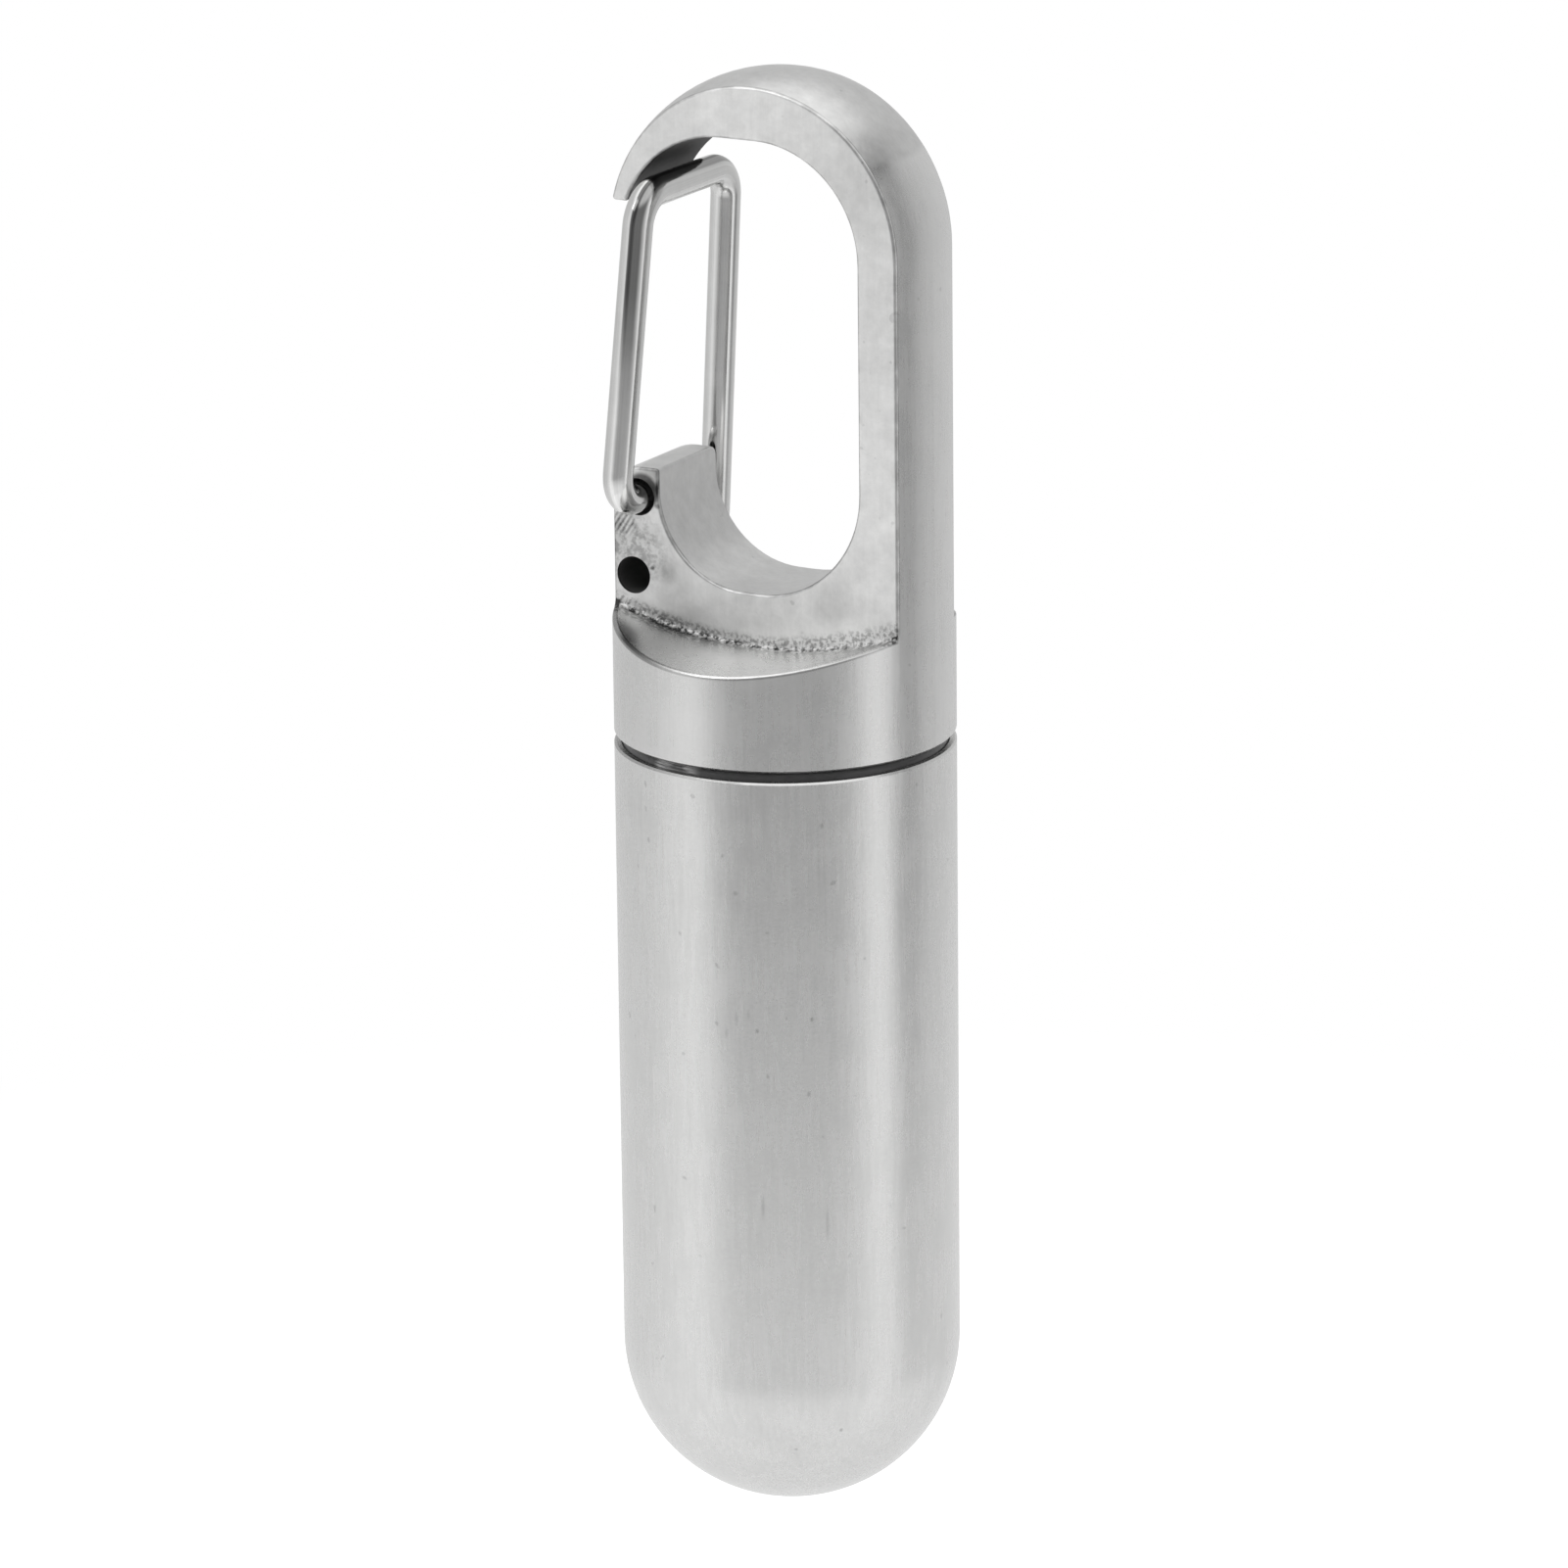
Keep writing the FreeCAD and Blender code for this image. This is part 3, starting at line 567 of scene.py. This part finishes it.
capLook = {
    "colour": (0.66, 0.66, 0.655),
    "roughness": 0.28,
    "blotchScale": 420.0,
    "streakScale": 4000.0,
    "streakLength": 14.0,
    "shadeMix": {"Blotch": 0.16, "Streak": 0.14, "Grain": 0.08},
    "roughMix": {"Blotch": 0.10, "Streak": 0.08},
    "bumpMix": {"Streak": 0.25, "Grain": 0.2},
    "bumpDepth": 0.014 * mm,
    # how much each mask darkens the steel; the corner, band, wall, nose, edge, lug edge and rim masks are
    # painted shade, the hem a painted highlight and the ledge both; the rest are real marks
    "darkBy": {"chatter": 0.33, "corner": 0.50, "band": 0.12, "lug": 0.18, "pocks": 0.30, "scratches": 0.42,
               "pits": 0.16, "wall": 0.12, "nose": 0.80, "edge": 0.42, "lugEdge": 0.35, "rim": 0.28,
               "hem": -0.14, "ledge": -1.0},
    "darkest": 0.06,
    "roughBy": {"chatter": 0.16, "corner": 0.10, "bores": 0.3, "flat": 0.10, "wall": 0.08, "nose": 0.15},
    "cutBy": {"chatter": 0.12, "pocks": 0.5, "scratches": 0.8},
    "flatStart": (flatAt - 0.12 * mm, flatAt - 0.03 * mm),
    "flatEnd": (flatAt + 0.45 * mm, flatAt + 0.2 * mm),
    "flatLift": 0.22,
    "mottleNoise": (1150.0, 3.0, 0.6),
    "mottleDepth": 0.30,
    "ledgeRadius": 25.0 * mm,
    "ledgeMiddle": -1.85 * mm,
    "ledgeTop": -22.0 * mm,
    "ledgeStart": (-0.25 * mm, -0.05 * mm),
    "ledgeBand": ((-0.12 * mm, -0.03 * mm), (0.12 * mm, 0.03 * mm)),
    "ledgeOut": (flatAt + 0.1 * mm, flatAt + 0.3 * mm),
    # painted shade at the ledge's left end and a painted highlight in its middle
    "ledgeDull": 0.38,
    "ledgeShine": [  # painted light: a ramp along X and how much brighter
        ((-5.5 * mm, 1.0 * mm), 0.84), ((4.5 * mm, 7.5 * mm), -0.50), ((-5.6 * mm, -6.8 * mm), 0.38)],
    "chatterWidth": (0.5 * mm, 6.0 * mm, 0.85 * mm, 1.2 * mm),  # along X, and the band's width there
    "chatterTop": (1.0, 0.45),  # shares of that width
    "chatterEnd": (flatAt + 1.3 * mm, flatAt + 0.65 * mm),
    "chatterPaling": (-5.0 * mm, 3.0 * mm, 1.0, 0.3),
    "chipNoise": (5000.0, 2.0, 0.6),
    "chipSize": (0.42, 0.60),
    # painted shade in the concave corner under the band
    "cornerTop": (0.4 * mm, 0.1 * mm),
    "cornerPaling": (1.0 * mm, 6.0 * mm, 1.0, 0.8),
    "cornerNoise": (2600.0, 2.0, 0.6),
    "cornerPatch": (0.38, 0.62, 0.4, 1.0),
    "lugSpot": ((-7.4 * mm, -3.05 * mm, -22.4 * mm), 0.8 * mm, 3.0 * mm),  # place, full within, gone past
    "pockNoise": (2500.0, 4.0, 0.7),
    "pockSize": (0.40, 0.62),
    "scratchSpot": ((-7.85 * mm, -3.05 * mm, -21.0 * mm), 0.4 * mm, 0.95 * mm),
    "scratchSlant": math.radians(-34),
    "scratchLines": {"Scale": 1250.0, "Distortion": 1.5, "Detail": 2.0},
    "wallSpan": (7.6 * mm, 7.3 * mm),
    "wallStart": (flatAt - 0.05 * mm, flatAt - 0.25 * mm),
    "wallLow": -24.5 * mm,
    # painted shade inside the nose, deeper towards its tip
    "noseMiddle": (-1.75 * mm, -6.1 * mm),
    "noseRadius": 6.35 * mm,
    "noseLow": -4.6 * mm,
    "noseStart": (flatAt, flatAt - 0.2 * mm),
    "noseGrade": (-1.2 * mm, -5.6 * mm, 0.55, 1.0),
    "noseEnd": (-0.4 * mm, -1.2 * mm),
    # painted shade along the flats' edges, dulling their highlights
    "edgeStart": (flatAt - 0.2 * mm, flatAt - 0.14 * mm),
    "edgeEnd": (flatAt + 0.01 * mm, flatAt - 0.02 * mm),
    "edgeAbove": (0.05 * mm, 0.25 * mm),
    "edgeNoise": (900.0, 3.0),
    "edgePatch": (0.35, 0.65, 0.4, 1.0),
    "lugCrown": ((-7.0 * mm, -3.0 * mm, -17.9 * mm), 1.6 * mm, 2.0 * mm),
    # painted shade on the ledge's outer rim
    "rimSpan": 8.72 * mm,
    "rimWidth": (0.24 * mm, 0.16 * mm),
    "rimGrade": (-1.0 * mm, -4.0 * mm, 1.0, 2.0),
    # painted highlight on the collar's lower hem
    "hemRise": (-31.69 * mm, -31.75 * mm),
    "holeRadius": 1.03 * mm,
    "boreStart": flatAt - 0.02 * mm,
    # painted shade inside the pin holes
    "boreDepth": 0.60,
    "marks": [  # marks on the front flat: place, full within, gone past, how dark, or how pale below zero
        ((6.60 * mm, -3.05 * mm, -1.60 * mm), 0.60 * mm, 3.60 * mm, 0.11),
        ((7.00 * mm, -3.05 * mm, -17.50 * mm), 1.00 * mm, 6.00 * mm, -0.06),
        ((-0.60 * mm, -3.05 * mm, 1.50 * mm), 1.00 * mm, 5.00 * mm, -0.05),
        ((-4.80 * mm, -3.05 * mm, -23.70 * mm), 0.50 * mm, 1.90 * mm, 0.13),
        ((-6.74 * mm, -3.05 * mm, -19.25 * mm), 0.85 * mm, 1.15 * mm, 0.66),
        ((-5.82 * mm, -3.02 * mm, -19.95 * mm), 0.05 * mm, 0.20 * mm, 0.50),
        ((-6.15 * mm, -3.05 * mm, -23.30 * mm), 0.04 * mm, 0.18 * mm, 0.45),
        ((-5.15 * mm, -3.05 * mm, -23.45 * mm), 0.15 * mm, 0.80 * mm, 0.20),
        ((-5.00 * mm, -3.05 * mm, -25.90 * mm), 0.30 * mm, 3.40 * mm, 0.15),
        ((0.50 * mm, -3.05 * mm, -26.00 * mm), 1.00 * mm, 6.00 * mm, 0.12),
        ((4.60 * mm, -3.05 * mm, -23.75 * mm), 0.50 * mm, 1.90 * mm, 0.15),
    ],
}


def capPlaces(tree, look, place):
    # what the masks share: depth from the middle plane, span from the axis, how far inside the ledge's arc,
    # and masks of what is inside that arc, of what is as low as the ledge, and of the two milled flats
    parts = addNode(tree, "ShaderNodeSeparateXYZ", {"Vector": place}).outputs
    depth = calc(tree, "ABSOLUTE", parts["Y"])
    fromMiddle = fromAxis(tree, parts["X"], parts["Z"], (0.0, look["ledgeMiddle"]))
    inside = calc(tree, "SUBTRACT", look["ledgeRadius"], fromMiddle)
    fromLedge = rampBetween(tree, inside, *look["ledgeStart"])
    return {
        "place": place,
        "x": parts["X"],
        "z": parts["Z"],
        "depth": depth,
        "span": fromAxis(tree, parts["X"], parts["Y"], (0.0, 0.0)),
        "inside": inside,
        "fromLedge": fromLedge,
        "low": calc(tree, "LESS_THAN", parts["Z"], look["ledgeTop"]),
        "flat": allOf(tree, between(tree, depth, look["flatStart"], look["flatEnd"]), fromLedge),
    }


def chatterMasks(tree, look, at):
    # where the flat's cutter stopped: a chipped band along the ledge's arc, wider to the right, under painted
    # shade that fades to the right, and painted shade in the concave corner under it, dulling the fillet's
    # highlight
    width = rampBetween(tree, at["x"], *look["chatterWidth"])
    band = allOf(tree, rampBetween(tree, calc(tree, "DIVIDE", at["inside"], width), *look["chatterTop"]),
                 at["fromLedge"], at["low"],
                 between(tree, at["depth"], look["flatStart"], look["chatterEnd"]))
    chips = rampBetween(tree, noiseOn(tree, at["place"], *look["chipNoise"]), *look["chipSize"])
    patches = rampBetween(tree, noiseOn(tree, at["place"], *look["cornerNoise"]), *look["cornerPatch"])
    # painted shade in the concave corner, dulling the fillet's highlight
    corner = allOf(tree, rampBetween(tree, at["inside"], *look["cornerTop"]), at["low"], at["flat"],
                   rampBetween(tree, at["x"], *look["cornerPaling"]), patches)
    # painted shade over the band, heavier to the left
    paled = allOf(tree, band, rampBetween(tree, at["x"], *look["chatterPaling"]))
    return {"band": paled, "chatter": allOf(tree, band, chips), "corner": corner}


def ledgeMasks(tree, look, at):
    # painted light on the ledge: painted shade at its left end and a painted highlight in its middle
    onLedge = allOf(tree, between(tree, at["inside"], *look["ledgeBand"]), at["low"],
                    rampBetween(tree, at["depth"], *look["ledgeOut"]))
    shine = addUp(tree, [(rampBetween(tree, at["x"], *ramp), weight) for ramp, weight in look["ledgeShine"]])
    return {"ledge": allOf(tree, onLedge, calc(tree, "SUBTRACT", shine, look["ledgeDull"]))}


def lugMasks(tree, look, at):
    # a rough lug between its two holes, and slanted scratches under the upper one
    lug = allOf(tree, nearPoint(tree, at["place"], *look["lugSpot"]), at["flat"])
    pocks = rampBetween(tree, noiseOn(tree, at["place"], *look["pockNoise"]), *look["pockSize"])
    slanted = addNode(tree, "ShaderNodeVectorRotate", {"Vector": at["place"], "Angle": look["scratchSlant"]},
                      rotation_type="Y_AXIS").outputs[0]
    lines = addNode(tree, "ShaderNodeTexWave", {"Vector": slanted, **look["scratchLines"]},
                    bands_direction="X").outputs["Fac"]
    scratches = allOf(tree, nearPoint(tree, at["place"], *look["scratchSpot"]), lines, at["flat"])
    return {"lug": lug, "pocks": allOf(tree, lug, pocks), "scratches": scratches}


def wallMasks(tree, look, at):
    # the slot's walls are rougher than the flats and carry painted shade, most of all inside the nose, where
    # it stands in for a dark reflection
    wall = allOf(tree, rampBetween(tree, at["span"], *look["wallSpan"]),
                 rampBetween(tree, at["depth"], *look["wallStart"]),
                 calc(tree, "GREATER_THAN", at["z"], look["wallLow"]))
    noseReach = fromAxis(tree, at["x"], at["z"], look["noseMiddle"])
    nose = allOf(tree, calc(tree, "LESS_THAN", noseReach, look["noseRadius"]),
                 calc(tree, "GREATER_THAN", at["z"], look["noseLow"]),
                 rampBetween(tree, at["depth"], *look["noseStart"]),
                 rampBetween(tree, at["x"], *look["noseGrade"]),
                 rampBetween(tree, at["x"], *look["noseEnd"]))
    return {"wall": wall, "nose": nose}


def edgeMasks(tree, look, at):
    # painted shade in uneven patches along the flats' broken edges, most of all on the lug, dulling their
    # highlights; painted shade on the ledge's outer rim, heavier to the left; and a painted highlight on the
    # collar's lower hem
    patches = rampBetween(tree, noiseOn(tree, at["place"], *look["edgeNoise"]), *look["edgePatch"])
    edge = allOf(tree, between(tree, at["depth"], look["edgeStart"], look["edgeEnd"]),
                 rampBetween(tree, at["inside"], *look["edgeAbove"]), patches)
    lugEdge = allOf(tree, edge, nearPoint(tree, at["place"], *look["lugCrown"]))
    outside = calc(tree, "GREATER_THAN", at["span"], look["rimSpan"])
    rim = allOf(tree, rampBetween(tree, calc(tree, "ABSOLUTE", at["inside"]), *look["rimWidth"]), at["low"],
                outside, calc(tree, "GREATER_THAN", at["depth"], flatAt),
                rampBetween(tree, at["x"], *look["rimGrade"]))
    hem = allOf(tree, rampBetween(tree, at["z"], *look["hemRise"]), outside)
    return {"edge": edge, "lugEdge": lugEdge, "rim": rim, "hem": hem}


def boreMasks(tree, look, at):
    # painted shade inside both pin holes, which the gate's hinge line meets, the upper one in front and the
    # lower one behind
    upper, axis = np.array(gateJoint["pos_m"]), np.array(gateJoint["axis"])
    lower = upper - axis * (2 * upper[1] / axis[1])
    reaches = [fromAxis(tree, at["x"], at["z"], (hole[0], hole[2])) for hole in (upper, lower)]
    nearest = calc(tree, "MINIMUM", *reaches)
    return {"bores": allOf(tree, calc(tree, "LESS_THAN", nearest, look["holeRadius"]),
                           calc(tree, "LESS_THAN", at["depth"], look["boreStart"]))}


def makeCapSteel(look):
    material, tree, shader = newMaterial("cap_satin_steel", {"Metallic": 1.0})
    place, grain = steelGrain(tree, look)
    at = capPlaces(tree, look, place)
    flat = at["flat"]
    masks = {"pits": grain["Pits"], "flat": flat}
    for makeMasks in (chatterMasks, ledgeMasks, lugMasks, wallMasks, edgeMasks, boreMasks):
        masks.update(makeMasks(tree, look, at))
    dark = weighed(tree, masks, look["darkBy"])
    for point, inner, outer, amount in look["marks"]:
        mark = allOf(tree, nearPoint(tree, place, point, inner, outer), flat)
        dark = calc(tree, "ADD", dark, calc(tree, "MULTIPLY", mark, amount))
    clean = calc(tree, "MAXIMUM", calc(tree, "SUBTRACT", 1.0, dark), look["darkest"])
    mottle = swinging(tree, [(noiseOn(tree, place, *look["mottleNoise"]), look["mottleDepth"])], 0.0)
    mottle = allOf(tree, mottle, calc(tree, "MAXIMUM", flat, masks["wall"]))
    lift = calc(tree, "ADD", 1.0, calc(tree, "MULTIPLY", flat, look["flatLift"]))
    shade = calc(tree, "ADD", grainMix(tree, grain, look["shadeMix"]), mottle)
    # painted shade inside the pin holes
    shade = lessBy(tree, allOf(tree, shade, clean, lift), masks["bores"], look["boreDepth"])
    tree.links.new(tinted(tree, look["colour"], shade), shader.inputs["Base Color"])
    rough = grainMix(tree, grain, look["roughMix"], look["roughness"])
    rough = calc(tree, "ADD", rough, weighed(tree, masks, look["roughBy"]))
    tree.links.new(rough, shader.inputs["Roughness"])
    height = grainMix(tree, grain, look["bumpMix"], 0.5)
    height = calc(tree, "SUBTRACT", height, weighed(tree, masks, look["cutBy"]))
    tree.links.new(bumped(tree, height, look["bumpDepth"]), shader.inputs["Normal"])
    return material


frame["nodes"]["clip_cap"].material_slots[0].material = makeCapSteel(capLook)
print("stage: hook cap finished")


# Camera at the photograph's angle

cameraLook = {
    "azimuth": math.radians(29.879),
    "elevation": math.radians(16.188),
    "roll": math.radians(-0.630),
    "place": (209.7225 * mm, -365.2571 * mm, 87.2643 * mm),
    "lens": 191.35,
    "clipStart": 0.01,
}


def makeCamera(look):
    turn, lift, roll = look["azimuth"], look["elevation"], look["roll"]
    back = Vector((math.sin(turn) * math.cos(lift), -math.cos(turn) * math.cos(lift), math.sin(lift)))
    right = Vector((math.cos(turn), math.sin(turn), 0.0))
    up = back.cross(right)
    rolledRight = math.cos(roll) * right + math.sin(roll) * up
    rolledUp = -math.sin(roll) * right + math.cos(roll) * up
    data = bpy.data.cameras.new("photo_camera")
    data.lens = look["lens"]
    data.clip_start = look["clipStart"]
    camera = bpy.data.objects.new("photo_camera", data)
    bpy.context.scene.collection.objects.link(camera)
    axes = Matrix((rolledRight, rolledUp, back)).transposed()
    camera.matrix_world = Matrix.Translation(look["place"]) @ axes.to_4x4()
    bpy.context.scene.camera = camera


makeCamera(cameraLook)


# Studio: pale floor, a soft tent of light and one softbox

studioLook = {
    "floorDrop": 16 * mm,
    "floorRadius": 0.24,
    "floorRings": 9,
    "floorTurns": 96,
    "floorColour": (0.82, 0.82, 0.82, 1.0),
    "floorGlow": 0.40,
    "floorSheen": 0.20,
    "sheenSpread": (-0.05, 0.02, 0.35, 1.0),  # from behind the object towards the camera
    "whiteSpread": (0.0648, 0.132),  # distances from the middle
    "mirrorSpread": (0.228, 0.08),
    "mirrorShare": 0.70,
    "mirrorNear": (0.08, 0.048, 0.0, 0.92),
    "tent": [  # degrees round from the camera, towards its right, and the light from there
        (-180, 0.72), (-150, 0.72), (-122, 0.74), (-95, 0.80), (-78, 0.95), (-64, 1.05), (-52, 0.76),
        (-42, 0.48), (-28, 0.39), (0, 0.40), (24, 0.38), (36, 0.45), (48, 0.66), (60, 1.10),
        (70, 1.10), (83, 0.34), (93, 0.34), (106, 0.64), (122, 0.70), (140, 0.76), (180, 0.72)],
    "overhead": (math.radians(35.0), math.radians(56.0)),
    "overheadLevel": 1.4,
    "flags": [  # turn from the camera, lift, full within, gone past, how dark
        (-44.0, 31.0, 9.0, 27.0, 0.20),
        (101.0, 42.0, 8.0, 17.0, 0.68)],
    "keyPlace": (-0.28, -0.42, 0.50),
    "keySize": 0.30,
    "keyPower": 0.6,
}


def clearTree(owner):
    owner.use_nodes = True
    owner.node_tree.nodes.clear()
    return owner.node_tree


def flagShade(tree, ray, axes, turn, rise, inner, outer, depth):
    # 1, less the depth of a round dark flag that fades from its inner to its outer angle
    turn, rise, inner, outer = (math.radians(angle) for angle in (turn, rise, inner, outer))
    level = math.cos(turn) * axes[0] + math.sin(turn) * axes[1]
    flagAt = math.cos(rise) * level + math.sin(rise) * axes[2]
    return rampBetween(tree, dotWith(tree, ray, flagAt), math.cos(outer), math.cos(inner), 1.0, 1.0 - depth)


def makeWorld(look, cameraTurn):
    # a tent whose light changes round the object, a bright top and two dark flags; the backdrop is white
    world = bpy.data.worlds.new("studio_tent")
    bpy.context.scene.world = world
    tree = clearTree(world)
    ray = addNode(tree, "ShaderNodeTexCoord").outputs["Generated"]
    towards = Vector((math.sin(cameraTurn), -math.cos(cameraTurn), 0.0))
    aside = Vector((math.cos(cameraTurn), math.sin(cameraTurn), 0.0))
    upwards = Vector((0.0, 0.0, 1.0))
    angle = calc(tree, "ARCTAN2", dotWith(tree, ray, aside), dotWith(tree, ray, towards))
    ramp = addNode(tree, "ShaderNodeValToRGB", {"Fac": rampLinear(tree, angle, -math.pi, math.pi)})
    stops = ramp.color_ramp.elements
    while len(stops) < len(look["tent"]):
        stops.new(0.5)
    for stop, (degrees, light) in zip(stops, look["tent"]):
        stop.position = (degrees + 180) / 360
        stop.color = (light, light, light, 1.0)
    level = ramp.outputs["Color"]
    top = rampBetween(tree, dotWith(tree, ray, upwards), *(math.sin(lift) for lift in look["overhead"]))
    more = calc(tree, "MULTIPLY", calc(tree, "SUBTRACT", look["overheadLevel"], level), top)
    level = calc(tree, "ADD", level, more)
    for flag in look["flags"]:
        level = calc(tree, "MULTIPLY", level, flagShade(tree, ray, (towards, aside, upwards), *flag))
    tent = addNode(tree, "ShaderNodeBackground", {"Color": (1, 1, 1, 1), "Strength": level})
    white = addNode(tree, "ShaderNodeBackground", {"Color": (1, 1, 1, 1), "Strength": 1.0})
    path = addNode(tree, "ShaderNodeLightPath").outputs
    backdrop = calc(tree, "MAXIMUM", path["Is Camera Ray"], path["Is Transmission Ray"])
    mix = addNode(tree, "ShaderNodeMixShader", {0: backdrop, 1: tent.outputs[0], 2: white.outputs[0]})
    output = addNode(tree, "ShaderNodeOutputWorld")
    tree.links.new(mix.outputs[0], output.inputs["Surface"])


def makeFloorPaint(look, cameraTurn):
    # pale and matt, with a sheen towards the camera for what the steel mirrors
    material = bpy.data.materials.new("pale_floor")
    tree = clearTree(material)
    path = addNode(tree, "ShaderNodeLightPath").outputs
    backdrop = calc(tree, "MAXIMUM", path["Is Camera Ray"], path["Is Transmission Ray"])
    place = addNode(tree, "ShaderNodeTexCoord").outputs["Object"]
    forward = dotWith(tree, place, (math.sin(cameraTurn), -math.cos(cameraTurn), 0.0))
    sheen = allOf(tree, path["Is Glossy Ray"], rampBetween(tree, forward, *look["sheenSpread"]))
    strength = addUp(tree, [(backdrop, look["floorGlow"]), (sheen, look["floorSheen"])])
    diffuse = addNode(tree, "ShaderNodeBsdfDiffuse", {"Color": look["floorColour"]})
    glow = addNode(tree, "ShaderNodeEmission", {"Color": (1, 1, 1, 1), "Strength": strength})
    pale = addNode(tree, "ShaderNodeAddShader", {0: diffuse.outputs[0], 1: glow.outputs[0]})

    # the rim fades into the white backdrop, and out of what the steel mirrors
    level = stretched(tree, place, (1.0, 1.0, 0.0))
    reach = addNode(tree, "ShaderNodeVectorMath", {0: level}, operation="LENGTH").outputs["Value"]
    rim = allOf(tree, rampBetween(tree, reach, *look["whiteSpread"]), backdrop)
    white = addNode(tree, "ShaderNodeEmission", {"Color": (1, 1, 1, 1), "Strength": 1.0})
    faded = addNode(tree, "ShaderNodeMixShader", {0: rim, 1: pale.outputs[0], 2: white.outputs[0]})
    far = calc(tree, "MULTIPLY", rampLinear(tree, reach, *look["mirrorSpread"]), look["mirrorShare"])
    mirrored = calc(tree, "MAXIMUM", far, rampBetween(tree, reach, *look["mirrorNear"]))
    unseen = allOf(tree, path["Is Glossy Ray"], calc(tree, "SUBTRACT", 1.0, mirrored))
    clear = addNode(tree, "ShaderNodeBsdfTransparent")
    shown = addNode(tree, "ShaderNodeMixShader", {0: unseen, 1: faded.outputs[0], 2: clear.outputs[0]})
    output = addNode(tree, "ShaderNodeOutputMaterial")
    tree.links.new(shown.outputs[0], output.inputs["Surface"])
    return material


def makeFloor(look, cameraTurn):
    # a flat disc of rings round Z below the capsule
    level = capsuleLow.z - look["floorDrop"]
    turn = np.arange(look["floorTurns"]) * (2 * math.pi / look["floorTurns"])
    radius = np.linspace(look["floorRadius"], 0.0, look["floorRings"])[:, None]
    across, along = radius * np.cos(turn), radius * np.sin(turn)
    grid = np.stack([across, along, np.full(across.shape, level)], axis=-1)
    floor = bpy.data.objects.new("studio_floor", gridMesh("studio_floor", grid))
    bpy.context.scene.collection.objects.link(floor)
    floor.data.materials.append(makeFloorPaint(look, cameraTurn))


def makeKey(look):
    data = bpy.data.lights.new("softbox", "AREA")
    data.size = look["keySize"]
    data.energy = look["keyPower"]
    key = bpy.data.objects.new("softbox", data)
    bpy.context.scene.collection.objects.link(key)
    key.location = look["keyPlace"]
    aim = Vector((0, 0, (capHigh.z + capsuleLow.z) / 2)) - key.location
    key.rotation_euler = aim.to_track_quat("-Z", "Y").to_euler()
    key.visible_camera = False


makeWorld(studioLook, cameraLook["azimuth"])
makeFloor(studioLook, cameraLook["azimuth"])
makeKey(studioLook)
bpy.context.scene.view_settings.view_transform = "Standard"
print("stage: camera, floor and light")
